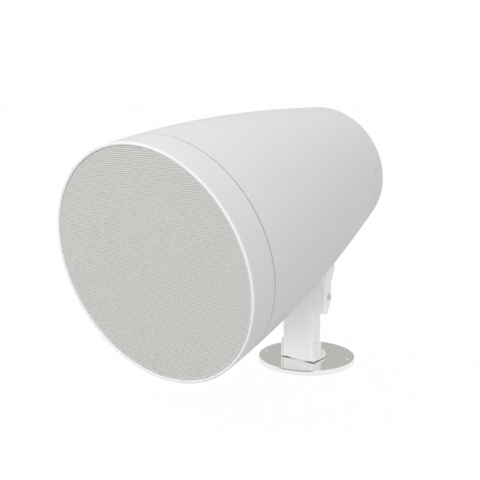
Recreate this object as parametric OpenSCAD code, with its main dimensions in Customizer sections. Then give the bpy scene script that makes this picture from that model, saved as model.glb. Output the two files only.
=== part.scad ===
/* [Body] */
// Radius of the front rim, the widest place
front_r = 100; // [90:1:110]
// Length of the body from the front lip to the rear face
body_len = 270; // [256:1:290]
// Radius where the side would meet the rear face, before the corner is rounded
rear_r = 61.2; // [58:0.1:68]
// How far the side swells out past a straight taper, at mid length
side_bulge = 6.7; // [3:0.1:8]
// Share by which the swell is fuller towards the front
swell_ahead = 0.2; // [0:0.05:0.4]
// Radius of the rounded rear corner
rear_corner_r = 8; // [5:0.5:12]
// Thickness of the moulded wall
wall = 3; // [2.5:0.1:4]
// Distance of the seam behind the front lip
seam_s = 29; // [26:0.5:34]
// Width of the shadow groove at the seam
seam_gap = 0.6; // [0.3:0.1:1]
// Depth of the shadow groove at the seam
seam_depth = 0.9; // [0.5:0.1:1.2]

/* [Front ring and grille] */
// Width of the bright lip around the grille
lip_w = 2.8; // [2:0.1:4]
// Depth of the grille's face behind the lip
grille_recess = 1.2; // [0.6:0.1:2]
// Thickness of the grille sheet
grille_t = 1; // [0.8:0.1:1.5]
// Width of the ledge that the grille lies on
ledge_w = 5; // [4:0.5:7]
// Thickness of that ledge
ledge_t = 2.5; // [2:0.1:4]
// Solid border of the grille sheet
grille_border = 2.2; // [1.5:0.1:4]
// Distance between the rows of the perforation
row_pitch = 1.73; // [1.7:0.01:2.6]
// Height of each open row
row_open = 0.9; // [0.5:0.05:1.2]
// Length of the tongue that enters the housing
tongue_len = 6; // [4:0.5:8]
// Thickness of the tongue
tongue_t = 2.2; // [1.5:0.1:3]

/* [Baffle] */
// Thickness of the baffle
baffle_t = 6; // [4:0.5:9]
// Width of the housing's shoulder behind the baffle
shoulder_w = 9; // [8:0.5:10]
// Thickness of the housing's shoulder
shoulder_t = 3; // [2:0.5:5]
// Number of screws that hold the baffle
baffle_screw_n = 4; // [3:1:6]
// Radius of the baffle screws' shanks
baffle_screw_r = 1.75; // [1.5:0.05:2]
// Radius of the baffle screws' heads
baffle_head_r = 3.2; // [3:0.1:3.6]
// Radius of the bosses behind the shoulder
boss_r = 3.4; // [3:0.1:4]
// Length of the bosses behind the shoulder
boss_len = 14; // [10:1:18]

/* [Driver] */
// Room between the front rim and the driver's flange
driver_in = 17.5; // [16:0.5:19]
// Outer radius of the driver's flange
driver_r = front_r - driver_in;
// Width of the driver's flange on the baffle
flange_w = 9.5; // [9:0.5:12]
// Radius of the driver's opening in the baffle
baffle_open_r = driver_r - flange_w;
// Thickness of the pressed steel frame
basket_t = 1.2; // [1:0.1:1.6]
// Depth of the frame behind its flange
basket_depth = 34; // [30:1:40]
// Radius of the frame's bottom
basket_floor_r = 40; // [36:0.5:44]
// Number of windows in the frame
basket_windows = 4; // [3:1:6]
// Width of the frame's spokes
spoke_w = 18; // [12:1:24]
// Outer radius of the magnet ring
magnet_r = 45; // [40:0.5:50]
// Thickness of the magnet ring
magnet_t = 15; // [10:0.5:20]
// Thickness of the magnet's steel plates
pole_plate_t = 5; // [4:0.5:7]
// Radius of the pole piece
pole_r = 12.2; // [11:0.1:12.4]
// Outer radius of the voice coil's former
coil_r = 13.1; // [13:0.05:13.3]
// Thickness of the former with its winding
coil_t = 0.5; // [0.4:0.05:0.6]
// Radius of the hole in the top plate around the coil
gap_r = 13.9; // [13.7:0.05:14.2]
// Room between the paper cone and the edge of the driver's opening
cone_in = 9; // [9:0.5:11]
// Outer radius of the paper cone
cone_r = baffle_open_r - cone_in;
// Depth of the paper cone
cone_depth = 22; // [18:0.5:24]
// Thickness of the cone's paper
cone_t = 0.8; // [0.5:0.1:1.2]
// Outer radius of the small inner cone
whizzer_r = 31; // [26:0.5:36]
// Depth of the small inner cone
whizzer_depth = 11; // [8:0.5:14]
// Radius of the surround's roll
roll_r = 3.4; // [3:0.1:3.6]
// Thickness of the surround, spider and dust cap
skin_t = 0.7; // [0.5:0.1:1]
// Outer radius of the spider
spider_r = 33; // [30:0.5:35]
// Thickness of the gasket
gasket_t = 2; // [1:0.1:2.4]
// Radius of the driver screws' shanks
driver_screw_r = 1.7; // [1.5:0.1:2]
// Radius of the driver screws' heads
driver_head_r = 2.8; // [2.5:0.1:3]
// How far the frame narrows from the driver's opening to its windows
basket_narrow = 6; // [4:0.5:8]
// Radius of the frame where its wall meets its windows
basket_wall_r = baffle_open_r - basket_narrow;
// Rise of the dust cap
cap_rise = 5; // [3:0.5:7]
// Radius of the vent through the pole piece
vent_r = 4; // [3:0.5:6]
// Width of the magnet ring's gap around the pole's bore
magnet_inner = 6; // [4:0.5:8]

/* [Bracket] */
// Radius of the round base plate
base_r = 48; // [45:0.5:55]
// Thickness of the base plate
base_t = 5; // [4:0.5:7]
// Radius of the circle that the fixing holes lie on
hole_circle_r = 41.5; // [38:0.5:42]
// Radius of the fixing holes
hole_r = 3; // [2.5:0.1:3.5]
// Number of fixing holes
hole_n = 2; // [2:1:4]
// Turn of the fixing holes against the arm
hole_turn = 18; // [0:1:45]
// Thickness of the friction disc under the arm
disc_t = 1; // [0.5:0.1:2]
// Thickness of the folded steel sheet
sheet = 2; // [1.5:0.1:2.5]
// Inner radius of the sheet's bends
bend_r = 1; // [0.5:0.1:1.5]
// Distance of the arm's front face in front of the pan axis
web_front = 17; // [16:0.5:20]
// Half width of the arm's narrow lower part
post_half_w = 17.8; // [16:0.1:20]
// Depth of the lower part's cheeks
post_depth = 13; // [11:0.5:15]
// Height of the step from narrow to wide above the base plate
step_h = 51; // [47:0.5:55]
// Half width of the arm's wide upper part
yoke_half_w = 31.4; // [30:0.1:34]
// Depth of the upper part's cheeks
yoke_depth = 9.6; // [9:0.1:10.5]
// Height of the foot bracket's ears
foot_ear_h = 16; // [12:0.5:20]
// Thickness of the foot bracket's sheet
foot_t = 1.6; // [1.2:0.1:2]
// Rounding of the base plate's edges
plate_edge = 0.8; // [0.4:0.1:1.5]
// Depth of the countersink for the pan bolt's head
countersink_h = 4; // [3:0.1:4.5]
// Outer radius of the washer under the pan nut
pan_washer_r = 8.5; // [7.8:0.1:9]
// Thickness of the washer under the pan nut
pan_washer_t = 1.6; // [1.2:0.1:2]
// Width across the flats of the pan nut
pan_nut_w = 13; // [12:0.5:14]
// Thickness of the pan nut
pan_nut_t = 6.5; // [5:0.5:7]
// Thread standing out of a nut
thread_out = 2.5; // [1:0.5:4]
// Width of the groove pressed into each lower cheek
groove_w = 3.4; // [2:0.1:5]
// Depth of that groove
groove_d = 0.5; // [0.2:0.1:0.8]
// Height where the groove starts above the base plate
groove_from = 18; // [14:1:24]
// Chamfer at the lower rear corner of the upper cheeks
cheek_chamfer = 6; // [3:0.5:9]

/* [Pivots] */
// Height of the tilt axis above the base plate
pivot_h = 67; // [65:0.5:75]
// Distance of the tilt axis behind the arm's front face
pivot_back = 6; // [5.8:0.1:6.6]
// Downward tilt of the body at rest
tilt = 11.3; // [0:0.1:15]
// Distance of the tilt axis ahead of the rear face, along the body
pivot_rear = 69.4; // [60:0.1:80]
// Place of the tilt axis along the body, from the front lip
pivot_s = body_len - pivot_rear;
// Distance of the tilt axis below the housing's pad
pivot_under = 25; // [21:0.1:29]
// Radius of the tilt bolts
tilt_bolt_r = 2; // [1.8:0.1:2.2]
// Radius of the pan bolt
pan_bolt_r = 4; // [3:0.5:5]
// Running clearance between a bolt and what turns on it
run_clear = 0.05; // [0.03:0.01:0.08]
// Height of the arm's horns above the tilt axis
horn_h = 29.5; // [26:0.5:32]
// Height of the arm's front face above the tilt axis
web_top_h = 18.5; // [16:0.5:18.5]
// Thickness of the washers beside the tilt ears
side_washer_t = 1; // [0.8:0.1:1.5]
// Radius of the tilt bolts' low heads
tilt_head_r = 3.2; // [3:0.1:4]
// Height of the tilt bolts' low heads
tilt_head_h = 1.4; // [1:0.1:2.5]
// Width across the flats of the tilt bolts' nuts
tilt_nut_w = 7; // [6:0.5:8]
// Thickness of the tilt bolts' nuts
tilt_nut_t = 3.2; // [2.4:0.1:4]

/* [Saddle] */
// Half length of the pad and the saddle along the body
pad_half_l = 20; // [18:0.5:24]
// Rise of the pad's face over the side, which is taken in full millimetres
pad_rise = 1; // [0.5:0.1:2]
// Half width of the housing's pad
pad_half_w = 26; // [24:0.5:28]
// Radius of the saddle's screws
saddle_screw_r = 2.5; // [2:0.1:2.5]
// How far the ears' front edge leans back, to clear the arm when the nose goes down
ear_lean = 4.4; // [4:0.2:8]
// Thickness of the nut plate inside the housing
nut_plate_t = 3; // [2:0.5:4]
// Distance of the saddle's screws from the pad's side edges
saddle_screw_in_x = 9; // [8:0.5:11]
// Distance of the saddle's screws from the pad's ends
saddle_screw_in_s = 6; // [5:0.5:8]
// Radius of the saddle screws' heads
saddle_head_r = 4.2; // [4:0.1:5]
// Height of the saddle screws' heads
saddle_head_h = 2.4; // [2:0.1:3]
// Width of the ribs between pad and nut plate
pad_rib_w = 8; // [6:0.5:10]
// Depth of those ribs beyond the wall
pad_rib_h = 14; // [10:0.5:18]

/* [Rear cover] */
// Length of the cover along the body, to the rear face
cover_len = 28; // [22:0.5:32]
// Place of the cover's front edge along the body
cover_s = body_len - cover_len;
// Height of the cover's upper edge above the body's axis
cover_top = 9; // [4:0.5:14]
// Gap around the cover
cover_gap = 0.35; // [0.2:0.05:0.6]
// Distance of the cover's screws to either side
cover_screw_x = 36; // [32:0.5:38]
// Distance of the cover's screws below the body's axis
cover_screw_y = 20; // [16:0.5:24]
// Radius of the cover screws' shanks
cover_screw_r = 1.7; // [1.5:0.1:2]
// Radius of the cover screws' heads
cover_head_r = 3.3; // [3:0.1:4]
// Length of the posts that take the cover's screws
post_len = 14; // [12:1:18]
// Width of those posts
post_w = 10; // [8:0.5:12]
// Height of the posts' root above the cover's upper edge
post_root_h = 14; // [10:1:18]
// Radius of the cable grommet's hole in the cover
grommet_r = 8; // [6:0.5:10]
// Distance of the grommet below the cover's screws
grommet_drop = 10; // [8:1:14]
// Radius of the closed membrane in the grommet
membrane_r = 5; // [4:0.5:6]

/* [Inside] */
// Thickness of the sound-damping lining
lining_t = 16; // [10:1:22]
// Length of the sound-damping lining
lining_len = 55; // [40:1:60]
// Stack height of the transformer's core
core_stack = 20; // [16:1:24]
// Width of the transformer's core
core_w = 48; // [44:1:50]
// Height of the transformer's core
core_h = 40; // [36:1:42]
// Thickness of the transformer's winding above its core
winding_t = 7; // [5:0.5:9]
// Width of the terminal block
terminal_w = 32; // [28:1:40]
// Length of the terminal block's shelf
terminal_l = 16; // [14:1:18]
// Height of the terminal block
terminal_h = 14; // [10:1:16]
// Number of terminals
terminal_ways = 4; // [2:1:5]
// Radius of the wire entries
terminal_hole_r = 2.4; // [1.8:0.1:2.8]

/* [Hidden] */
$fn = 96;
eps = 0.01;
seat = 0.2;
screw_head_h = 1.9;
side_steps = 16;
corner_steps = 8;
web_y = -web_front;
pivot_y = web_y + pivot_back;
pivot_z = base_t + pivot_h;
pad_face = ceil(side_r(pivot_s - pad_half_l)) + pad_rise;
pivot_drop = pad_face + pivot_under;
grille_s = grille_recess;
grille_r = front_r - lip_w - seat;
ledge_s = grille_s + grille_t + 0.1;
ledge_in_r = front_r - lip_w - ledge_w;
tongue_r = side_r(seam_s) - wall - seat;
baffle_s = seam_s + tongue_len + seat;
baffle_r = tongue_r - 0.3;
shoulder_s = baffle_s + baffle_t;
shoulder_in_r = baffle_r - shoulder_w;
baffle_screw_circle = tongue_r - tongue_t - baffle_head_r - 1;
flange_s = baffle_s - basket_t;
basket_end_s = flange_s + basket_depth;
top_plate_s = basket_end_s;
magnet_s = top_plate_s + pole_plate_t;
back_plate_s = magnet_s + magnet_t;
neck_s = flange_s + 3 + cone_depth;
spider_s = neck_s + 3;
saddle_in_x = yoke_half_w - sheet - side_washer_t - 0.2;
saddle_ear_r = pivot_back - sheet - 0.4;
plate_low_y = pad_face + sheet;
saddle_screw_x = pad_half_w - saddle_screw_in_x;
saddle_screw_s = pad_half_l - saddle_screw_in_s;
slip = 0.1;
lap = 0.02;
pan_stack_z = base_t + disc_t + foot_t;
driver_screw_circle = (driver_r + baffle_open_r) / 2;
nut_plate_y = pad_inner_y() - nut_plate_t - slip;
core_y = nut_plate_y - core_stack / 2 - slip;
grommet_y = cover_screw_y + grommet_drop;

// The body's outline: a straight taper from rim to rear edge plus a swell, fuller towards the front.
function side_r(s) = front_r + (rear_r - front_r) * s / body_len
    + 4 * side_bulge * (s / body_len) * (1 - s / body_len) * (1 + swell_ahead * (1 - 2 * s / body_len));
end_slope = (front_r - rear_r + 4 * side_bulge * (1 - swell_ahead)) / body_len;
end_angle = atan(end_slope);

// Points of the side from one station to another, moved inwards by a wall.
function side_points(from, to, inset) =
    [for (i = [0:side_steps]) let (s = from + (to - from) * i / side_steps) [side_r(s) - inset, s]];

// Points of the rounded rear corner, as an arc tangent to the side and the rear face.
function corner_points(inset) =
    let (r = rear_corner_r - inset,
        c = [rear_r + end_slope * rear_corner_r - rear_corner_r / cos(end_angle), body_len - rear_corner_r])
    [for (i = [0:corner_steps]) let (a = end_angle + (90 - end_angle) * i / corner_steps)
        c + r * [cos(a), sin(a)]];

// A solid of the body's outline from one station to the rear face, inset by a wall.
module body_solid(from, inset) {
    arc_s = body_len - rear_corner_r + rear_corner_r * sin(end_angle);
    rotate_extrude()
        polygon(concat([[0, from]], side_points(from, arc_s - 1, inset), corner_points(inset),
            [[0, body_len - inset]]));
}

// Places what is drawn around the body's own axis, front lip at zero and local +Y downwards.
module on_body() {
    translate([0, pivot_y, pivot_z])
        rotate([-(90 - tilt), 0, 0])
            translate([0, -pivot_drop, -pivot_s])
                children();
}

// A flat ring between two radii, from one station along the axis.
module ring(outer, inner, from, t) {
    translate([0, 0, from])
        difference() {
            cylinder(r = outer, h = t);
            translate([0, 0, -1]) cylinder(r = inner, h = t + 2);
        }
}

module copies_around(n, r, turn = 0) {
    for (i = [0:n - 1]) rotate([0, 0, turn + i * 360 / n]) translate([r, 0, 0]) children();
}

// Section of a folded channel, front face on y = 0, cheeks running back.
module channel_2d(half_w, depth) {
    difference() {
        folded_outline(half_w, 0, depth, sheet + bend_r);
        folded_outline(half_w - sheet, sheet, depth + 1, bend_r);
    }
}

module folded_outline(half_w, front, back, r) {
    translate([-half_w + r, front]) square([2 * (half_w - r), back - front]);
    translate([-half_w, front + r]) square([2 * half_w, back - front - r]);
    for (side = [-1, 1]) translate([side * (half_w - r), front + r]) circle(r);
}

module hex_nut(across, hole, t) {
    difference() {
        cylinder(d = across / cos(30), h = t, $fn = 6);
        translate([0, 0, -1]) cylinder(r = hole, h = t + 2);
    }
}

// Round-head screw pointing along +Z, the head's seat on z = 0.
module pan_screw(r, len, head_r, head_h) {
    rotate_extrude()
        polygon([[0, -head_h], [head_r * 0.7, -head_h], [head_r, -head_h * 0.6], [head_r, 0], [r, 0],
            [r, len - r], [r * 0.5, len], [0, len]]);
}

module base_plate() {
    color("silver")
        difference() {
            rotate_extrude()
                polygon([[0, 0], [base_r - plate_edge, 0], [base_r, plate_edge], [base_r, base_t - plate_edge],
                    [base_r - plate_edge, base_t], [0, base_t]]);
            copies_around(hole_n, hole_circle_r, hole_turn)
                translate([0, 0, -1]) cylinder(r = hole_r, h = base_t + 2);
            translate([0, 0, -1]) cylinder(r = pan_bolt_r + slip, h = base_t + 2);
            translate([0, 0, -eps])
                cylinder(r1 = pan_bolt_r + countersink_h, r2 = pan_bolt_r + slip, h = countersink_h);
        }
}

module pan_bolt() {
    color("gainsboro") {
        cylinder(r1 = pan_bolt_r + countersink_h - slip, r2 = pan_bolt_r, h = countersink_h - slip);
        cylinder(r = pan_bolt_r, h = pan_stack_z + pan_washer_t + pan_nut_t + thread_out);
    }
}

module friction_disc() {
    color("dimgray") ring(post_half_w, pan_bolt_r + slip, base_t, disc_t);
}

module pan_washer() {
    color("gainsboro") ring(pan_washer_r, pan_bolt_r + slip, pan_stack_z, pan_washer_t);
}

module pan_nut() {
    color("gainsboro")
        translate([0, 0, pan_stack_z + pan_washer_t]) hex_nut(pan_nut_w, pan_bolt_r + lap, pan_nut_t);
}

module foot_bracket() {
    z0 = base_t + disc_t;
    ear_x = post_half_w + foot_t;
    color("white") {
        difference() {
            union() {
                translate([-ear_x, web_y, z0]) cube([2 * ear_x, web_front, foot_t]);
                translate([0, 0, z0]) cylinder(r = ear_x, h = foot_t);
            }
            translate([0, 0, z0 - 1]) cylinder(r = pan_bolt_r + run_clear, h = foot_t + 2);
            translate([-ear_x - 1, web_y - 20, z0 - 1]) cube([2 * ear_x + 2, 20, foot_t + 2]);
        }
        for (side = [-1, 1])
            translate([side > 0 ? post_half_w : -ear_x, web_y + bend_r, z0])
                cube([foot_t, post_depth - bend_r, foot_ear_h + foot_t]);
    }
}

module support_arm() {
    z0 = pan_stack_z;
    step_z = base_t + step_h;
    color("white")
        difference() {
            union() {
                translate([0, web_y, z0]) linear_extrude(step_z - z0) channel_2d(post_half_w, post_depth);
                translate([0, web_y, step_z])
                    linear_extrude(pivot_z + horn_h - step_z) channel_2d(yoke_half_w, yoke_depth);
            }
            translate([-yoke_half_w + sheet + bend_r, web_y - 1, pivot_z + web_top_h])
                cube([2 * (yoke_half_w - sheet - bend_r), sheet + 2, horn_h]);
            translate([-yoke_half_w - 1, pivot_y, pivot_z])
                rotate([0, 90, 0]) cylinder(r = tilt_bolt_r + slip, h = 2 * yoke_half_w + 2);
            for (side = [-1, 1]) {
                translate([side * post_half_w - groove_d, web_y + sheet + bend_r, base_t + groove_from])
                    cube([2 * groove_d, groove_w, step_h - groove_from]);
                translate([side > 0 ? post_half_w + eps : -yoke_half_w - 1, web_y + yoke_depth, step_z])
                    rotate([90, 0, 90])
                        linear_extrude(yoke_half_w - post_half_w + 1)
                            polygon([[1, -1], [1, 2 * cheek_chamfer], [0, 2 * cheek_chamfer],
                                [-cheek_chamfer, 0], [-cheek_chamfer, -1]]);
            }
        }
}

module both_sides(x) {
    for (side = [-1, 1])
        translate([side * x, pivot_y, pivot_z]) rotate([0, side * 90, 0]) children();
}

module tilt_bolts() {
    reach = yoke_half_w - saddle_in_x + sheet + tilt_nut_t + 1;
    color("gainsboro")
        both_sides(yoke_half_w) {
            rotate_extrude()
                polygon([[0, 0], [tilt_head_r, 0], [tilt_head_r, tilt_head_h * 0.4],
                    [tilt_head_r * 0.6, tilt_head_h], [0, tilt_head_h]]);
            translate([0, 0, -reach]) cylinder(r = tilt_bolt_r, h = reach + eps);
        }
}

module tilt_washers() {
    color("dimgray")
        both_sides(saddle_in_x + slip) ring(saddle_ear_r - 0.3, tilt_bolt_r + slip, 0, side_washer_t);
}

module tilt_nuts() {
    color("gainsboro")
        both_sides(saddle_in_x - sheet - slip - tilt_nut_t) hex_nut(tilt_nut_w, tilt_bolt_r + lap, tilt_nut_t);
}

module tilt_saddle() {
    ear = [[saddle_ear_r, pivot_drop], [-ear_lean, plate_low_y - eps], [-pad_half_l, plate_low_y - eps],
        [-saddle_ear_r, pivot_drop]];
    color("white")
        on_body()
            difference() {
                union() {
                    translate([-saddle_in_x, pad_face, pivot_s - pad_half_l])
                        cube([2 * saddle_in_x, sheet, 2 * pad_half_l]);
                    for (side = [-1, 1])
                        translate([side > 0 ? saddle_in_x - sheet : -saddle_in_x, 0, pivot_s])
                            rotate([0, 90, 0]) {
                                linear_extrude(sheet) polygon(ear);
                                translate([0, pivot_drop, 0]) cylinder(r = saddle_ear_r, h = sheet);
                            }
                }
                translate([-saddle_in_x - 1, pivot_drop, pivot_s])
                    rotate([0, 90, 0]) cylinder(r = tilt_bolt_r + run_clear, h = 2 * saddle_in_x + 2);
                saddle_holes(saddle_screw_r + 0.2, plate_low_y + 1);
            }
}

// Four holes through the saddle and the pad, drilled upwards from a level.
module saddle_holes(r, from) {
    for (x = [-1, 1], z = [-1, 1])
        translate([x * saddle_screw_x, from, pivot_s + z * saddle_screw_s])
            rotate([90, 0, 0]) cylinder(r = r, h = 30);
}

// Level inside the housing where the nut plate lies on the pad's inner ribs.
function pad_inner_y() = side_r(pivot_s - pad_half_l) - wall - pad_rib_h;

module saddle_screws() {
    color("gainsboro")
        on_body()
            for (x = [-1, 1], z = [-1, 1])
                translate([x * saddle_screw_x, plate_low_y, pivot_s + z * saddle_screw_s])
                    rotate([90, 0, 0])
                        pan_screw(saddle_screw_r, plate_low_y - nut_plate_y, saddle_head_r, saddle_head_h);
}

module nut_plate() {
    color("gainsboro")
        on_body()
            difference() {
                union() {
                    translate([-pad_half_w, nut_plate_y, pivot_s - pad_half_l])
                        cube([2 * pad_half_w, nut_plate_t, 2 * pad_half_l]);
                    translate([-terminal_w / 2, nut_plate_y, pivot_s + pad_half_l - eps])
                        cube([terminal_w, nut_plate_t, terminal_l]);
                }
                saddle_holes(saddle_screw_r + lap, nut_plate_y + nut_plate_t + 1);
            }
}

module housing_shell() {
    color("whitesmoke")
        on_body()
            difference() {
                union() {
                    difference() {
                        union() {
                            body_solid(seam_s + seam_gap, 0);
                            translate([-pad_half_w, 0, pivot_s - pad_half_l])
                                cube([2 * pad_half_w, pad_face, 2 * pad_half_l]);
                        }
                        body_solid(seam_s - 1, wall);
                        translate([0, 0, seam_s - 1])
                            cylinder(r = tongue_r + seat, h = shoulder_s - seam_s + 1);
                    }
                    shell_inside();
                    cover_posts();
                }
                difference() {
                    translate([-front_r, -cover_top, cover_s]) cube([2 * front_r, 2 * front_r, body_len]);
                    cover_posts();
                }
                for (x = [-1, 1])
                    translate([x * cover_screw_x, cover_screw_y, body_len - wall - 15])
                        cylinder(r = cover_screw_r + 0.05, h = 16);
                saddle_holes(saddle_screw_r + 0.2, pad_face + 1);
                copies_around(baffle_screw_n, baffle_screw_circle, 45)
                    translate([0, 0, shoulder_s - 1]) cylinder(r = baffle_screw_r + 0.05, h = 16);
            }
}

// What the housing carries inside: the baffle's shoulder and bosses, and the pad's ribs.
module shell_inside() {
    ring(side_r(shoulder_s) - wall / 2, shoulder_in_r, shoulder_s, shoulder_t);
    copies_around(baffle_screw_n, baffle_screw_circle, 45)
        translate([0, 0, shoulder_s]) cylinder(r = boss_r, h = boss_len);
    for (x = [-1, 1])
        translate([x * saddle_screw_x - pad_rib_w / 2, pad_inner_y(), pivot_s - pad_half_l])
            cube([pad_rib_w, pad_face - pad_inner_y() - wall, 2 * pad_half_l]);
}

// Posts from the upper rear wall down to the rear cover's screws.
module cover_posts() {
    for (x = [-1, 1]) {
        translate([x * cover_screw_x - post_w / 2, -cover_top - post_root_h, body_len - wall - post_len])
            cube([post_w, cover_top + post_root_h + cover_screw_y + post_w / 2, post_len - cover_gap]);
        translate([x * cover_screw_x - post_w / 2, -cover_top - post_root_h, body_len - wall - post_len])
            cube([post_w, post_root_h, post_len + wall / 2]);
    }
}

// The part of the body behind the cover's front edge and below its upper edge.
module cover_room(gap) {
    translate([-front_r, -cover_top + gap, cover_s + gap]) cube([2 * front_r, 2 * front_r, body_len]);
}

module rear_cover() {
    color("whitesmoke")
        on_body()
            difference() {
                intersection() {
                    difference() {
                        body_solid(cover_s - 5, 0);
                        body_solid(cover_s - 10, wall);
                    }
                    cover_room(cover_gap);
                }
                for (x = [-1, 1])
                    translate([x * cover_screw_x, cover_screw_y, body_len - wall - 1])
                        cylinder(r = cover_screw_r + 0.25, h = wall + 2);
                translate([0, grommet_y, body_len - wall - 1]) cylinder(r = grommet_r, h = wall + 2);
            }
}

module rear_cover_screws() {
    color("gainsboro")
        on_body()
            for (x = [-1, 1])
                translate([x * cover_screw_x, cover_screw_y, body_len])
                    mirror([0, 0, 1]) pan_screw(cover_screw_r, post_len, cover_head_r, screw_head_h);
}

module cable_grommet() {
    color("dimgray")
        on_body()
            translate([0, grommet_y, body_len])
                rotate_extrude()
                polygon([[0, -0.8], [membrane_r, -0.8], [membrane_r, 2], [grommet_r + 0.6, 2],
                    [grommet_r + 1.8, 1.2], [grommet_r + 1.8, 0], [grommet_r - slip, 0],
                    [grommet_r - slip, -wall], [grommet_r + 1.4, -wall], [grommet_r + 1, -wall - 1.6],
                    [membrane_r, -wall - 1.6], [membrane_r, -2.4], [0, -2.4]]);
}

module front_ring() {
    lip_r = lip_w / 2;
    seam_r = side_r(seam_s) - seam_depth;
    color("white")
        on_body() {
            difference() {
                union() {
                    rotate_extrude() {
                        polygon(concat([[ledge_in_r, lip_r]], side_points(lip_r, seam_s - seam_gap, 0),
                            [[seam_r, seam_s - seam_gap], [seam_r, seam_s], [tongue_r - 1, seam_s],
                                [ledge_in_r, seam_s]]));
                        translate([front_r - lip_r, lip_r]) circle(lip_r);
                    }
                    ring(tongue_r, tongue_r - tongue_t, seam_s - 1, tongue_len + 1);
                }
                translate([0, 0, -1]) cylinder(r = front_r - lip_w, h = ledge_s + 1);
                rotate_extrude()
                    polygon([[0, ledge_s + ledge_t], [ledge_in_r, ledge_s + ledge_t],
                        [front_r - wall - lip_w / 4, ledge_s + ledge_t + 4], [tongue_r - tongue_t, seam_s - 3],
                        [tongue_r - tongue_t, seam_s + 1], [0, seam_s + 1]]);
                translate([0, 0, -1]) cylinder(r = ledge_in_r, h = seam_s);
            }
        }
}

// Perforated sheet, one open row for each line of holes, widest rows left a border.
module grille() {
    open_r = grille_r - grille_border;
    half_rows = floor((open_r - row_open) / row_pitch);
    color("lightgray")
        on_body()
            translate([0, 0, grille_s])
                linear_extrude(grille_t)
                    difference() {
                        circle(grille_r);
                        for (i = [-half_rows:half_rows]) {
                            half = sqrt(open_r * open_r - pow(abs(i * row_pitch) + row_open / 2, 2));
                            translate([-half, i * row_pitch - row_open / 2]) square([2 * half, row_open]);
                        }
                    }
}

module baffle() {
    color("dimgray")
        on_body()
            difference() {
                ring(baffle_r, baffle_open_r, baffle_s, baffle_t);
                copies_around(baffle_screw_n, baffle_screw_circle, 45)
                    translate([0, 0, baffle_s - 1]) cylinder(r = baffle_screw_r + 0.1, h = baffle_t + 2);
                copies_around(basket_windows, driver_screw_circle, 0)
                    translate([0, 0, baffle_s - 1]) cylinder(r = driver_screw_r + 0.05, h = baffle_t + 2);
            }
}

module baffle_screws() {
    color("gainsboro")
        on_body()
            copies_around(baffle_screw_n, baffle_screw_circle, 45)
                translate([0, 0, baffle_s])
                    pan_screw(baffle_screw_r, baffle_t + boss_len - 2, baffle_head_r, screw_head_h);
}

module driver_basket() {
    wall_r = baffle_open_r - 0.5 - basket_t;
    color("darkgray")
        on_body()
            difference() {
                rotate_extrude()
                    polygon([[wall_r, flange_s], [driver_r, flange_s], [driver_r, flange_s + basket_t],
                        [baffle_open_r - 0.5, flange_s + basket_t], [basket_wall_r, flange_s + 11],
                        [basket_floor_r + basket_t, basket_end_s - 4], [basket_floor_r + basket_t, basket_end_s],
                        [gap_r + 2, basket_end_s], [gap_r + 2, basket_end_s - basket_t],
                        [basket_floor_r, basket_end_s - basket_t], [basket_floor_r, basket_end_s - 4.5],
                        [basket_wall_r - basket_t, flange_s + 10.6], [wall_r, flange_s + 2]]);
                for (i = [0:basket_windows - 1])
                    rotate([0, 0, (i + 0.5) * 360 / basket_windows])
                        intersection() {
                            ring(driver_r, basket_floor_r - 6, flange_s + 12.5, basket_depth - 19);
                            spoke_sector();
                        }
                copies_around(basket_windows, driver_screw_circle, 0)
                    translate([0, 0, flange_s - 1]) cylinder(r = driver_screw_r + 0.1, h = basket_t + 2);
            }
}

// A wedge along +X between two spokes of the frame.
module spoke_sector() {
    half = 180 / basket_windows;
    d = spoke_w / 2;
    far = 2 * driver_r;
    linear_extrude(body_len)
        polygon([[d / sin(half), 0], [far * cos(half) + d * sin(half), -far * sin(half) + d * cos(half)],
            [far * cos(half) + d * sin(half), far * sin(half) - d * cos(half)]]);
}

module driver_gasket() {
    color("dimgray")
        on_body()
            ring(driver_screw_circle - driver_head_r - 0.3, cone_r + 2 * roll_r + 0.15,
                flange_s - skin_t - 0.2 - gasket_t, gasket_t);
}

module driver_screws() {
    color("gainsboro")
        on_body()
            copies_around(basket_windows, driver_screw_circle, 0)
                translate([0, 0, flange_s])
                    pan_screw(driver_screw_r, baffle_t + basket_t, driver_head_r, screw_head_h);
}

// Half-roll edge that lets the cone move, lapped on the cone and the flange.
module driver_surround() {
    mid_r = cone_r + roll_r;
    color("dimgray")
        on_body()
            rotate_extrude()
                difference() {
                    union() {
                        translate([mid_r, flange_s - 0.1]) circle(roll_r);
                        translate([cone_r - 3, flange_s - 0.1]) square([3 + skin_t / 2, skin_t]);
                        translate([mid_r + roll_r - skin_t, flange_s - skin_t - 0.1]) square([2, skin_t]);
                    }
                    translate([mid_r, flange_s - 0.1]) circle(roll_r - skin_t);
                    translate([mid_r - roll_r, flange_s - 0.1 + skin_t]) square([2 * roll_r, roll_r + 1]);
                }
}

module driver_cone() {
    color("whitesmoke")
        on_body()
            rotate_extrude()
                polygon([[cone_r, flange_s + skin_t], [cone_r, flange_s + skin_t + cone_t],
                    [cone_r - 3.4, flange_s + skin_t + cone_t],
                    [coil_r + 0.1, neck_s + cone_t], [coil_r + 0.1, neck_s], [cone_r - 3, flange_s + skin_t]]);
}

module whizzer_cone() {
    color("whitesmoke")
        on_body()
            rotate_extrude()
                polygon([[coil_r + 0.1, neck_s - 0.1], [coil_r + 0.1, neck_s - 0.9],
                    [(coil_r + whizzer_r) / 2 - 2, neck_s - 5.5], [whizzer_r - 0.6, neck_s - whizzer_depth],
                    [whizzer_r, neck_s - whizzer_depth], [(coil_r + whizzer_r) / 2 - 1.2, neck_s - 5.1]]);
}

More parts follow.
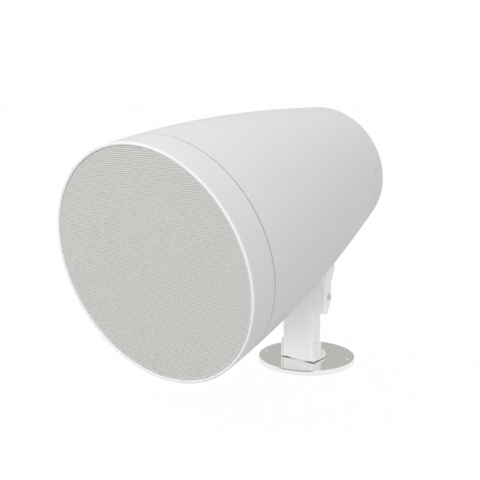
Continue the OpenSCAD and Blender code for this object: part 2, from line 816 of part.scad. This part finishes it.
module dust_cap() {
    dome_r = (coil_r * coil_r + cap_rise * cap_rise) / (2 * cap_rise);
    color("whitesmoke")
        on_body()
            intersection() {
                translate([0, 0, neck_s - 3 - cap_rise + dome_r])
                    difference() {
                        sphere(dome_r);
                        sphere(dome_r - skin_t);
                    }
                translate([0, 0, neck_s - 3 - cap_rise - 1]) cylinder(r = coil_r, h = cap_rise + 1);
            }
}

// Corrugated disc that centres the coil, lapped on the frame's inner step.
module driver_spider() {
    color("tan")
        on_body()
            rotate_extrude()
                polygon(concat(
                    [for (i = [0:16]) let (u = i / 16) [coil_r + 0.1 + (spider_r - coil_r) * u,
                        spider_s + (i % 4 == 1 ? 0.8 : i % 4 == 3 ? -0.8 : 0)]],
                    [for (i = [16:-1:0]) let (u = i / 16) [coil_r + 0.1 + (spider_r - coil_r) * u,
                        spider_s + skin_t + (i % 4 == 1 ? 0.8 : i % 4 == 3 ? -0.8 : 0)]]));
    color("tan")
        on_body() ring(spider_r + 0.1, spider_r - 2, spider_s, basket_end_s - basket_t - spider_s);
}

module voice_coil() {
    color("peru") on_body() ring(coil_r, coil_r - coil_t, neck_s - 3, magnet_s + 4 - neck_s + 3);
}

module top_plate() {
    color("silver") on_body() ring(magnet_r - 3, gap_r, top_plate_s, pole_plate_t);
}

module magnet_ring() {
    color("dimgray") on_body() ring(magnet_r, gap_r + magnet_inner, magnet_s, magnet_t);
}

module pole_yoke() {
    color("silver")
        on_body()
            difference() {
                union() {
                    translate([0, 0, back_plate_s]) cylinder(r = magnet_r - 3, h = pole_plate_t);
                    translate([0, 0, top_plate_s]) cylinder(r = pole_r, h = back_plate_s - top_plate_s + eps);
                }
                translate([0, 0, top_plate_s - 1])
                    cylinder(r = vent_r, h = back_plate_s - top_plate_s + pole_plate_t + 2);
            }
}

// Laminated core lying on the nut plate, with its middle leg along the body.
module transformer_core() {
    leg = core_w / 6;
    color("dimgray")
        on_body()
            translate([0, core_y, pivot_s - pad_half_l])
                difference() {
                    translate([-core_w / 2, -core_stack / 2, 0]) cube([core_w, core_stack, core_h]);
                    for (side = [-1, 1])
                        translate([side * core_w / 4 - leg / 2 - eps, -core_stack, leg])
                            cube([leg, 2 * core_stack, core_h - 2 * leg]);
                }
}

module transformer_coil() {
    leg = core_w / 6;
    half = core_w / 4 + leg / 2 - 0.3;
    inner = core_w / 4 - leg / 2 + 0.1;
    color("goldenrod")
        on_body()
            translate([0, core_y, pivot_s - pad_half_l + leg + 0.3])
                difference() {
                    translate([-half, -core_stack / 2 - winding_t, 0])
                        cube([2 * half, core_stack + winding_t, core_h - 2 * leg - 0.6]);
                    translate([-inner, -core_stack / 2 - 0.1, -1]) cube([2 * inner, core_stack + 1, core_h]);
                }
}

// Screw terminals on the nut plate's rear end, their wire entries facing the rear.
module terminal_block() {
    pitch = terminal_w / terminal_ways;
    color("ivory")
        on_body()
            difference() {
                translate([-terminal_w / 2, nut_plate_y - terminal_h - slip, pivot_s + pad_half_l + 2])
                    cube([terminal_w, terminal_h, terminal_l - 3]);
                for (i = [0:terminal_ways - 1])
                    translate([(i - (terminal_ways - 1) / 2) * pitch, nut_plate_y - 5, pivot_s + pad_half_l + 6])
                        cylinder(r = terminal_hole_r, h = terminal_l);
            }
}

module damping_lining() {
    from = pivot_s - pad_half_l - 12 - lining_len;
    color("lightgray")
        on_body()
            rotate_extrude()
                polygon(concat(side_points(from, from + lining_len, wall + 0.2),
                    [[side_r(from + lining_len) - wall - lining_t, from + lining_len],
                        [side_r(from) - wall - lining_t, from]]));
}

base_plate();
pan_bolt();
friction_disc();
pan_washer();
pan_nut();
foot_bracket();
support_arm();
tilt_bolts();
tilt_washers();
tilt_nuts();
tilt_saddle();
saddle_screws();
nut_plate();
housing_shell();
rear_cover();
rear_cover_screws();
cable_grommet();
front_ring();
grille();
baffle();
baffle_screws();
driver_basket();
driver_gasket();
driver_screws();
driver_surround();
driver_cone();
whizzer_cone();
dust_cap();
driver_spider();
voice_coil();
top_plate();
magnet_ring();
pole_yoke();
transformer_core();
transformer_coil();
terminal_block();
damping_lining();
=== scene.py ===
import math

import bpy
import numpy as np
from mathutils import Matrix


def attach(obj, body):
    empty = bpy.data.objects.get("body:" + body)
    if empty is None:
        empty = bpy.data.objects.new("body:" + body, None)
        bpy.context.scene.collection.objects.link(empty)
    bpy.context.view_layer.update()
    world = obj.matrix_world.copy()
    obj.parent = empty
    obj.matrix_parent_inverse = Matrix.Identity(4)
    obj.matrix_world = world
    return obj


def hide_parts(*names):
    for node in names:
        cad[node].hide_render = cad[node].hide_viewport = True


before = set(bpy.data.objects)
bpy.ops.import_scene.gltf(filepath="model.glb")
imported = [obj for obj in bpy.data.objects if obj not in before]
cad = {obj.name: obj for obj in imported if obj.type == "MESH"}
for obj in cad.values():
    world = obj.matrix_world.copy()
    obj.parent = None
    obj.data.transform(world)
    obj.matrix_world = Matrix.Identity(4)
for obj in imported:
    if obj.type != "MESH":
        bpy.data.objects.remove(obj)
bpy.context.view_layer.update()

# Camera. It stands in front of the loudspeaker, to its left-hand side and a little above it, as for a
# catalogue picture. Its place and focal length follow from the outline's perspective.
CAMERA_PLACE = (0.4640, -0.7276, 0.2923)
CAMERA_AHEAD = (-0.60101, 0.79925)
CAMERA_DOWN = math.radians(11.19)
FOCAL_MM = 67.5
SENSOR_MM = 36


def linked(name, data):
    """A new object with this data, in the scene at the origin."""
    made = bpy.data.objects.new(name, data)
    bpy.context.scene.collection.objects.link(made)
    return made


camera_data = bpy.data.cameras.new("camera")
camera_data.lens = FOCAL_MM
camera_data.sensor_width = SENSOR_MM
camera = linked("camera", camera_data)
camera.location = CAMERA_PLACE
camera_turn = math.atan2(-CAMERA_AHEAD[0], CAMERA_AHEAD[1])
camera.rotation_euler = (math.pi / 2 - CAMERA_DOWN, 0, camera_turn)
bpy.context.scene.camera = camera

# Studio. A soft box stands high in front, and a stronger low one in front on the camera's side. The
# white room and the pale floor look white to camera, glossy and transmission rays, and light the object
# at a plain level. The share of the floor that doesn't glow white carries the object's shadow.
WHITE = (1, 1, 1, 1)
ROOM_LIGHT = 0.87
FLOOR_HALF = 7.0
FLOOR_TONE = 0.62
FLOOR_GLOW = 0.985
# Name, place, side in metres and power in watts of each soft box.
SOFT_BOXES = (
    ("key_box", (-0.7, -1.7, 1.9), 1.3, 16),
    ("front_box", (0.65, -2.1, 0.05), 1.0, 29),
)
BOX_TARGET = (0, -0.1, 0.12)


def aim(place, target):
    """Turn that points an object's own -Z axis from one place at another, with its top upwards."""
    ahead = np.subtract(target, place)
    rise = math.atan2(ahead[2], math.hypot(ahead[0], ahead[1]))
    return math.pi / 2 + rise, 0, math.atan2(-ahead[0], ahead[1])


def node_in(tree, kind, **settings):
    """A new shader node. A setting whose name starts with in_ goes to the input of that name or number."""
    node = tree.nodes.new(kind)
    for key, value in settings.items():
        if key.startswith("in_"):
            socket = key.removeprefix("in_")
            socket = int(socket) if socket.isdigit() else socket.replace("_", " ")
            node.inputs[socket].default_value = value
        else:
            setattr(node, key, value)
    return node


def seen_share(tree):
    """1 for camera, glossy and transmission rays and 0 for the rays that light the object, as the
    largest of the three ray flags."""
    path = node_in(tree, "ShaderNodeLightPath")
    share = path.outputs["Is Camera Ray"]
    for flag in ("Is Glossy Ray", "Is Transmission Ray"):
        larger = node_in(tree, "ShaderNodeMath", operation="MAXIMUM")
        tree.links.new(share, larger.inputs[0])
        tree.links.new(path.outputs[flag], larger.inputs[1])
        share = larger.outputs[0]
    return share


def split_rays(tree, share, lighting, seen, output):
    """Mixes two shaders into an output: the first for rays that light, the second for the seen share."""
    mix = node_in(tree, "ShaderNodeMixShader")
    tree.links.new(share, mix.inputs[0])
    tree.links.new(lighting.outputs[0], mix.inputs[1])
    tree.links.new(seen.outputs[0], mix.inputs[2])
    tree.links.new(mix.outputs[0], output.inputs["Surface"])


def flat_sheet(name, middle, across, upward):
    """A rectangle for the stage, whose corners are its middle plus or minus each half side. With it come
    the node tree of its new material, empty but for the output, and that output."""
    corners = [
        tuple(np.array(middle) + sideways * np.array(across) + upwards * np.array(upward))
        for sideways, upwards in ((-1, -1), (1, -1), (1, 1), (-1, 1))
    ]
    mesh = bpy.data.meshes.new(name)
    mesh.from_pydata(corners, [], [(0, 1, 2, 3)])
    made = bpy.data.materials.new(name)
    made.use_nodes = True
    made.node_tree.nodes.clear()
    mesh.materials.append(made)
    return linked(name, mesh), made.node_tree, node_in(made.node_tree, "ShaderNodeOutputMaterial")


for name, place, size, watts in SOFT_BOXES:
    lamp_data = bpy.data.lights.new(name, "AREA")
    lamp_data.shape = "SQUARE"
    lamp_data.size = size
    lamp_data.energy = watts
    lamp = linked(name, lamp_data)
    lamp.location = place
    lamp.rotation_euler = aim(place, BOX_TARGET)

room = bpy.data.worlds.new("white_room")
bpy.context.scene.world = room
room.use_nodes = True
room_tree = room.node_tree
room_tree.nodes.clear()
split_rays(
    room_tree,
    seen_share(room_tree),
    node_in(room_tree, "ShaderNodeBackground", in_Color=WHITE, in_Strength=ROOM_LIGHT),
    node_in(room_tree, "ShaderNodeBackground", in_Color=WHITE, in_Strength=1.0),
    node_in(room_tree, "ShaderNodeOutputWorld"),
)

floor, floor_tree, floor_out = flat_sheet("floor", (0, 0, 0), (FLOOR_HALF, 0, 0), (0, FLOOR_HALF, 0))
floor_share = node_in(floor_tree, "ShaderNodeMath", operation="MULTIPLY", in_1=FLOOR_GLOW)
floor_tree.links.new(seen_share(floor_tree), floor_share.inputs[0])
split_rays(
    floor_tree,
    floor_share.outputs[0],
    node_in(floor_tree, "ShaderNodeBsdfDiffuse", in_Color=(FLOOR_TONE, FLOOR_TONE, FLOOR_TONE, 1)),
    node_in(floor_tree, "ShaderNodeEmission", in_Color=WHITE, in_Strength=1.0),
    floor_out,
)
bpy.context.scene.view_settings.view_transform = "Standard"

# Grey card, behind the object and square to the line from its foot. Only glossy rays meet the card, so
# polished metal keeps its own tone against the white room, as it does in front of a studio's grey wall.
CARD_PLACE = (-0.82, 1.28, 0.51)
CARD_HALF_WIDE = 0.75
CARD_HALF_HIGH = 0.30
CARD_COLOUR = (1, 1, 0.98, 1)
CARD_TONE = 0.53

card_turn = aim(CARD_PLACE, (0, 0, 0))[2]
across = np.array([math.cos(card_turn), math.sin(card_turn), 0.0])
upward = np.cross(across, np.array(CARD_PLACE) / np.linalg.norm(CARD_PLACE))
card, card_tree, card_out = flat_sheet(
    "grey_card", CARD_PLACE, CARD_HALF_WIDE * across, CARD_HALF_HIGH * upward
)
card_glow = node_in(card_tree, "ShaderNodeEmission", in_Color=CARD_COLOUR, in_Strength=CARD_TONE)
card_tree.links.new(card_glow.outputs[0], card_out.inputs["Surface"])
card.visible_camera = False
card.visible_diffuse = False
card.visible_shadow = False
card.visible_transmission = False

# Base plate: a round steel disc, turned on its edge, drilled for two screws and polished, then plated.
# The arm's white front mirrors in it down to its rim.
PLATE_TONE = (0.86, 0.86, 0.84)
PLATE_ROUGH = 0.13
# Octaves and roughness of the fine noise, scale and octaves of the slow one, and the full height of the
# relief.
GRAIN_DETAIL = 4.0
GRAIN_ROUGH = 0.6
SLOW_SCALE = 22.0
SLOW_DETAIL = 3.0
RELIEF_HIGH = 0.0002


def grain_group():
    """Fine grain for any finish. A fine noise is the relief that tilts the normal. A slow noise less a
    half, times the gloss shift, is added to the roughness. Times the tone shift and plus 1, it is the
    factor of the colour."""
    group = bpy.data.node_groups.new("fine_grain", "ShaderNodeTree")
    for way, kind, name in (
        ("INPUT", "NodeSocketColor", "Colour"),
        ("INPUT", "NodeSocketFloat", "Grain size"),
        ("INPUT", "NodeSocketFloat", "Relief"),
        ("INPUT", "NodeSocketFloat", "Roughness"),
        ("INPUT", "NodeSocketFloat", "Tone shift"),
        ("INPUT", "NodeSocketFloat", "Gloss shift"),
        ("OUTPUT", "NodeSocketColor", "Colour"),
        ("OUTPUT", "NodeSocketFloat", "Roughness"),
        ("OUTPUT", "NodeSocketVector", "Normal"),
    ):
        group.interface.new_socket(name, in_out=way, socket_type=kind)
    link = group.links.new
    given = node_in(group, "NodeGroupInput")
    result = node_in(group, "NodeGroupOutput")
    place = node_in(group, "ShaderNodeTexCoord")
    fine = node_in(group, "ShaderNodeTexNoise", in_Detail=GRAIN_DETAIL, in_Roughness=GRAIN_ROUGH)
    slow = node_in(group, "ShaderNodeTexNoise", in_Scale=SLOW_SCALE, in_Detail=SLOW_DETAIL)
    link(place.outputs["Object"], fine.inputs["Vector"])
    link(place.outputs["Object"], slow.inputs["Vector"])
    link(given.outputs["Grain size"], fine.inputs["Scale"])
    bump = node_in(group, "ShaderNodeBump", in_Distance=RELIEF_HIGH)
    link(fine.outputs["Fac"], bump.inputs["Height"])
    link(given.outputs["Relief"], bump.inputs["Strength"])
    link(bump.outputs["Normal"], result.inputs["Normal"])
    swing = node_in(group, "ShaderNodeMath", operation="SUBTRACT", in_1=0.5)
    link(slow.outputs["Fac"], swing.inputs[0])
    gloss = node_in(group, "ShaderNodeMath", operation="MULTIPLY_ADD")
    link(swing.outputs[0], gloss.inputs[0])
    link(given.outputs["Gloss shift"], gloss.inputs[1])
    link(given.outputs["Roughness"], gloss.inputs[2])
    link(gloss.outputs[0], result.inputs["Roughness"])
    level = node_in(group, "ShaderNodeMath", operation="MULTIPLY_ADD", in_2=1.0)
    link(swing.outputs[0], level.inputs[0])
    link(given.outputs["Tone shift"], level.inputs[1])
    shade = node_in(group, "ShaderNodeVectorMath", operation="SCALE")
    link(given.outputs["Colour"], shade.inputs[0])
    link(level.outputs[0], shade.inputs["Scale"])
    link(shade.outputs[0], result.inputs["Colour"])
    return group


FINE_GRAIN = grain_group()


def finish(name, colour, rough, grain=900.0, relief=0.15, tone=0.06, gloss=0.1, **shader_inputs):
    """A material: one Principled shader whose colour, roughness and normal come from the fine grain."""
    made = bpy.data.materials.new(name)
    made.use_nodes = True
    tree = made.node_tree
    shader = tree.nodes["Principled BSDF"]
    for key, value in shader_inputs.items():
        shader.inputs[key.replace("_", " ")].default_value = value
    grained = node_in(tree, "ShaderNodeGroup", node_tree=FINE_GRAIN)
    for key, value in (
        ("Colour", (*colour, 1)),
        ("Grain size", grain),
        ("Relief", relief),
        ("Roughness", rough),
        ("Tone shift", tone),
        ("Gloss shift", gloss),
    ):
        grained.inputs[key].default_value = value
    tree.links.new(grained.outputs["Colour"], shader.inputs["Base Color"])
    tree.links.new(grained.outputs["Roughness"], shader.inputs["Roughness"])
    tree.links.new(grained.outputs["Normal"], shader.inputs["Normal"])
    return made


def coat(nodes, material):
    """Gives CAD nodes this finish in the one slot that each of them has."""
    for name in nodes:
        cad[name].data.materials[0] = material


plated_steel = finish(
    "plated_steel", PLATE_TONE, PLATE_ROUGH,
    grain=260.0, relief=0.02, tone=0.03, gloss=0.03, Metallic=1.0,
)
coat(["base_plate"], plated_steel)

# Pan stack: a countersunk zinc bolt from below, a natural nylon disc that the foot slides on, and a
# washer and nut that set the friction. The tilt washers are the same nylon.
ZINC_TONE = (0.54, 0.55, 0.56)
ZINC_ROUGH = 0.30
NYLON_TONE = (0.76, 0.75, 0.71)
NYLON_ROUGH = 0.42

zinc = finish(
    "zinc_plating", ZINC_TONE, ZINC_ROUGH,
    grain=1800.0, relief=0.12, tone=0.12, gloss=0.15, Metallic=1.0,
)
nylon = finish(
    "natural_nylon", NYLON_TONE, NYLON_ROUGH,
    grain=1200.0, Subsurface_Weight=0.1, Subsurface_Scale=0.002,
)
coat(["pan_bolt", "pan_washer", "pan_nut"], zinc)
coat(["friction_disc", "tilt_washers"], nylon)

# Arm, foot and saddle: laser-cut steel sheet, folded and powder coated in white, with the slight orange
# peel and satin gloss of such a coat. Zinc-plated bolts join the arm and the saddle, and zinc-plated
# screws hold the saddle to a plate inside the housing.
COAT_WHITE = (0.94, 0.935, 0.94)
COAT_ROUGH = 0.34

powder = finish(
    "white_powder_coat", COAT_WHITE, COAT_ROUGH,
    grain=900.0, relief=0.1, tone=0.02, gloss=0.06, Coat_Weight=0.25, Coat_Roughness=0.18,
)
coat(["foot_bracket", "support_arm", "tilt_saddle"], powder)
coat(["tilt_bolts", "tilt_nuts", "saddle_screws", "nut_plate"], zinc)

# Housing, rear cover and front ring: injection-moulded plastic, dyed in the mass a cool white, with a
# fine spark-eroded texture that keeps it satin. Zinc-plated screws hold the cover.
SHELL_WHITE = (0.665, 0.675, 0.685)
SHELL_ROUGH = 0.46

moulding = finish(
    "satin_white_moulding", SHELL_WHITE, SHELL_ROUGH,
    grain=2400.0, relief=0.12, tone=0.015, gloss=0.05, Specular_IOR_Level=0.4,
)
coat(["housing_shell", "rear_cover", "front_ring"], moulding)
coat(["rear_cover_screws"], zinc)

# Cable grommet: black rubber, pressed into the rear cover, with a closed membrane in the middle that
# the installer cuts through for the cable.
RUBBER_TONE = (0.028, 0.028, 0.03)
RUBBER_ROUGH = 0.62

rubber = finish("black_rubber", RUBBER_TONE, RUBBER_ROUGH, grain=1500.0, relief=0.3, tone=0.2)
coat(["cable_grommet"], rubber)

# Baffle and driver's frame: a black moulded baffle behind the front ring, and screwed to it the
# driver's pressed steel frame, coated black, with a ring of felt in front of its flange.
BAFFLE_TONE = (0.035, 0.035, 0.036)
BAFFLE_ROUGH = 0.55
FRAME_TONE = (0.03, 0.03, 0.032)
FRAME_ROUGH = 0.42
FELT_TONE = (0.06, 0.06, 0.06)
FELT_ROUGH = 0.92

baffle_moulding = finish("black_moulding", BAFFLE_TONE, BAFFLE_ROUGH, grain=1800.0)
black_coat = finish("black_coat", FRAME_TONE, FRAME_ROUGH, grain=700.0)
felt = finish("pressed_felt", FELT_TONE, FELT_ROUGH, grain=2500.0, relief=0.6, tone=0.3, Sheen_Weight=0.3)
coat(["baffle"], baffle_moulding)
coat(["driver_basket"], black_coat)
coat(["driver_gasket"], felt)
coat(["baffle_screws", "driver_screws"], zinc)

# Driver's moving parts: a treated cloth surround, pale paper cones and dust cap, a spider of cloth
# dipped in resin, and a coil wound from enamelled copper wire.
SURROUND_TONE = (0.05, 0.05, 0.052)
SURROUND_ROUGH = 0.7
PAPER_TONE = (0.42, 0.41, 0.38)
PAPER_ROUGH = 0.88
SPIDER_TONE = (0.52, 0.36, 0.15)
SPIDER_ROUGH = 0.8
COPPER_TONE = (0.66, 0.30, 0.16)
COPPER_ROUGH = 0.32

cloth = finish("treated_cloth", SURROUND_TONE, SURROUND_ROUGH, grain=2000.0, relief=0.5, Sheen_Weight=0.2)
paper = finish("cone_paper", PAPER_TONE, PAPER_ROUGH, grain=500.0, relief=0.6, tone=0.25)
resin_cloth = finish("resin_cloth", SPIDER_TONE, SPIDER_ROUGH, grain=2200.0, relief=0.5)
copper = finish("enamelled_copper", COPPER_TONE, COPPER_ROUGH, grain=2600.0, Metallic=1.0)
coat(["driver_surround"], cloth)
coat(["driver_cone", "whizzer_cone", "dust_cap"], paper)
coat(["driver_spider"], resin_cloth)
coat(["voice_coil"], copper)

# Magnet system and line transformer: a ferrite ring between a plated steel top plate and yoke, and on
# the nut plate a transformer with a dark laminated core and yellow tape over its winding.
FERRITE_TONE = (0.055, 0.055, 0.06)
FERRITE_ROUGH = 0.6
TAPE_TONE = (0.68, 0.48, 0.09)
TAPE_ROUGH = 0.4

ferrite = finish("ferrite", FERRITE_TONE, FERRITE_ROUGH, grain=1100.0, relief=0.3)
coil_tape = finish("coil_tape", TAPE_TONE, TAPE_ROUGH, grain=500.0)
coat(["magnet_ring", "transformer_core"], ferrite)
coat(["top_plate", "pole_yoke"], zinc)
coat(["transformer_coil"], coil_tape)

# Terminals and lining: ivory moulded screw terminals on the nut plate's rear end, and a ring of loose
# polyester fleece laid against the shell's wall.
IVORY_TONE = (0.74, 0.72, 0.64)
IVORY_ROUGH = 0.45
FLEECE_TONE = (0.70, 0.70, 0.68)
FLEECE_ROUGH = 0.95

ivory = finish("terminal_moulding", IVORY_TONE, IVORY_ROUGH, grain=1500.0)
fleece = finish("fleece", FLEECE_TONE, FLEECE_ROUGH, grain=700.0, relief=1.0, tone=0.2, Sheen_Weight=0.5)
coat(["terminal_block"], ivory)
coat(["damping_lining"], fleece)

# Grille: a round sheet of 0.6 mm steel, punched with staggered holes in rows 1.73 mm apart, powder
# coated in a slightly warm white and laid on the ring's ledge behind the lip. The holes stand closer
# along a row than the rows do, which is what shows as fine level lines from a step away.
GRILLE_TONE = (0.505, 0.505, 0.487)
GRILLE_ROUGH = 0.45
HOLE_STEP = 0.00115
ROW_STEP = 0.00173
HOLE_R = 0.00036
SHEET_T = 0.0006
# Play around the sheet's edge, and the width of its rim that isn't punched.
EDGE_PLAY = 0.0001
PLAIN_RIM = 0.0011
# Sides of a cell and of a hole, and the width across the flats of such a figure over that across its
# corners.
SIDES = 6
FLAT_SHARE = math.cos(math.pi / SIDES)
# Points closer than a tenth of a micrometre, which is this many decimals of a metre, are one point.
WELD_DECIMALS = 7


def node_points(name):
    """All vertices of a CAD node as one array of rows."""
    mesh = cad[name].data
    flat = np.empty(len(mesh.vertices) * 3)
    mesh.vertices.foreach_get("co", flat)
    return flat.reshape(-1, 3)


def disc_frame(name):
    """Centre of a thin disc's front face, its sideways, upward and backward directions, and its radius.
    The backward direction is the one across which the disc's points spread least."""
    points = node_points(name)
    middle = (points.min(0) + points.max(0)) / 2
    ways = np.linalg.eigh(np.cov((points - points.mean(0)).T)).eigenvectors
    back = ways[:, 0] * np.sign(ways[1, 0])
    side = np.array([1.0, 0.0, 0.0])
    up = np.cross(back, side)
    up *= np.sign(up[2])
    depth = (points - middle) @ back
    radius = np.abs(points[:, 0]).max()
    return middle + back * depth.min(), side, up, back, radius


def cell_grid(radius, step, rise):
    """Centres of staggered cells inside a radius: rows lie one rise apart, the cells of a row one step
    apart, and every other row is shifted by half a step."""
    n = int(radius / min(step, rise)) + 2
    row, column = np.meshgrid(np.arange(-n, n + 1), np.arange(-n, n + 1), indexing="ij")
    x = (column + (row % 2) / 2) * step
    y = row * rise
    keep = np.hypot(x, y) < radius
    return np.stack([x[keep], y[keep]], 1)


def hexagon(across, high):
    """Corners of a six-sided figure with two upright sides: the cosine of each turn times half the width
    over the flat share, and its sine times half the height."""
    turn = np.radians(180 / SIDES * (1 + 2 * np.arange(SIDES)))
    return np.stack([across / 2 / FLAT_SHARE * np.cos(turn), high / 2 * np.sin(turn)], 1)


def held_in(points, radius):
    """Points moved straight towards the centre where they lie outside a radius."""
    reach = np.hypot(points[..., 0], points[..., 1])
    return points * (radius / np.maximum(reach, radius))[..., None]


def laid_at(depth, ring):
    """Rings of two-number points, given this depth as their third number."""
    return np.concatenate([ring, np.full(ring.shape[:2] + (1,), depth)], 2)


def punched_sheet(centres, holed, rim):
    """Cells side by side, each 4/3 of a row high, because neighbouring rows interlock. A cell has four
    rings of six points: front edge, front of the hole, back of the hole and back edge. A holed cell has
    a wall of six quads from each ring to the next, and a plain cell one face in front and one behind."""
    edge = hexagon(HOLE_STEP, ROW_STEP * 4 / 3)
    hole = hexagon(2 * HOLE_R * FLAT_SHARE, 2 * HOLE_R)
    outer = held_in(centres[:, None] + edge, rim)
    inner = centres[:, None] + hole
    rings = [laid_at(0, outer), laid_at(0, inner), laid_at(SHEET_T, inner), laid_at(SHEET_T, outer)]
    points = np.stack(rings, 1).reshape(-1, 3)
    here = np.arange(SIDES)
    following = (here + 1) % SIDES
    side_walls = np.stack([here, following, SIDES + following, SIDES + here], 1)
    walls = np.concatenate([k * SIDES + side_walls for k in range(len(rings) - 1)])
    first = len(rings) * SIDES * np.arange(len(centres))
    quads = (first[holed][:, None, None] + walls[None]).reshape(-1, 4)
    plain = first[~holed][:, None]
    backs = plain + (len(rings) - 1) * SIDES + here[::-1]
    return points, quads, np.concatenate([plain + here, backs])


def sheet_piece(name, points, groups, material, body):
    """A piece on a body from an array of points and groups of faces with equal corner counts. Unused
    points are left out, and points that coincide are welded into one."""
    counts = np.concatenate([np.full(len(group), group.shape[1]) for group in groups])
    corners = np.concatenate([group.ravel() for group in groups])
    used, corners = np.unique(corners, return_inverse=True)
    welded, index = np.unique(np.round(points[used], WELD_DECIMALS), axis=0, return_inverse=True)
    corners = index.ravel()[corners]
    mesh = bpy.data.meshes.new(name)
    mesh.vertices.add(len(welded))
    mesh.vertices.foreach_set("co", welded.ravel())
    mesh.loops.add(len(corners))
    mesh.loops.foreach_set("vertex_index", corners.astype(np.int32))
    mesh.polygons.add(len(counts))
    starts = np.concatenate([[0], np.cumsum(counts)[:-1]])
    mesh.polygons.foreach_set("loop_start", starts.astype(np.int32))
    mesh.update(calc_edges=True)
    mesh.validate()
    mesh.materials.append(material)
    piece = linked(name, mesh)
    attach(piece, body)
    return piece


face_middle, side, up, back, grille_r = disc_frame("grille")
rim_r = grille_r - EDGE_PLAY
centres = cell_grid(rim_r + ROW_STEP / 2, HOLE_STEP, ROW_STEP)
holed = np.hypot(centres[:, 0], centres[:, 1]) < rim_r - PLAIN_RIM
grille_coat = finish("grille_coat", GRILLE_TONE, GRILLE_ROUGH, grain=2600.0, relief=0.08, tone=0.03)
# One number for each quarter of the disc: left or right of the middle, and below or above it.
quarter = 2 * (centres[:, 1] > 0) + (centres[:, 0] > 0)
for k in range(4):
    mine = quarter == k
    points, quads, plain = punched_sheet(centres[mine], holed[mine], rim_r)
    points = face_middle + points[:, :1] * side + points[:, 1:2] * up + points[:, 2:] * back
    sheet = sheet_piece(
        f"grille_quarter_{k + 1}", points, [quads, plain], grille_coat, "speaker"
    )
    if k == 0:
        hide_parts("grille")
